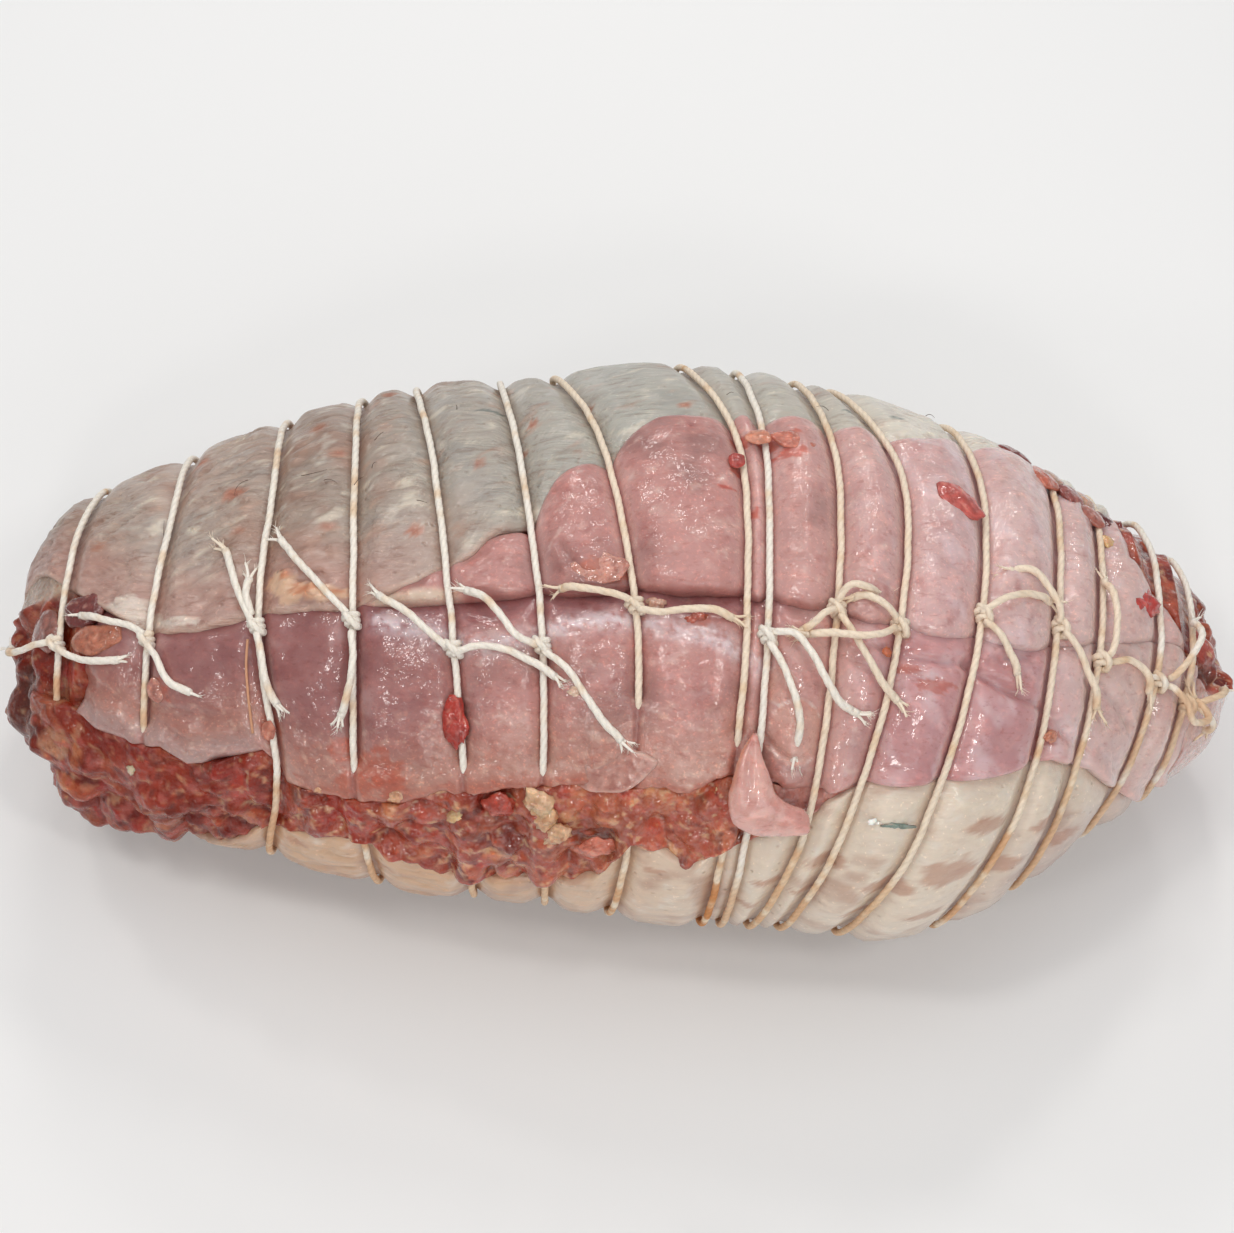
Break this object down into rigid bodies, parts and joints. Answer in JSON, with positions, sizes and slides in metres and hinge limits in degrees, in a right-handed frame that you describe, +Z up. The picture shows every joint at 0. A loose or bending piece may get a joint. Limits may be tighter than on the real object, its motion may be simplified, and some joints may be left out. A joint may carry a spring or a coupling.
{
  "type": "stuffed chicken roast",
  "caption": "Raw boned chicken rolled round a red minced stuffing, pale skin and pink meat bulging between turns of knotted cotton butcher's string.",
  "frame": {"origin": "middle of the underside, on the surface that the roast rests on", "axes": "+X along the roll towards its narrower right end as seen from the front, +Y towards the back, +Z up"},
  "size_m": [0.2866, 0.136, 0.1019],
  "materials": {
    "skin": "moist, pale and mottled",
    "meat_back": "wet, pink",
    "meat_front": "wet, pale pink",
    "stuffing": "wet, coarse and red",
    "flap": "wet, pale pink",
    "twine": "matt twisted cotton"
  },
  "bodies": {
    "root": {"skin": "skin", "meat_back": "meat_back", "meat_front": "meat_front", "stuffing": "stuffing", "flap": "flap", "string_01": "twine", "string_02": "twine", "string_03": "twine", "string_04": "twine", "string_05": "twine", "string_06": "twine", "string_07": "twine", "string_08": "twine", "string_09": "twine", "string_10": "twine", "string_11": "twine", "string_12": "twine", "string_13": "twine", "string_14": "twine", "string_15": "twine", "string_16": "twine"}
  },
  "joints": []
}
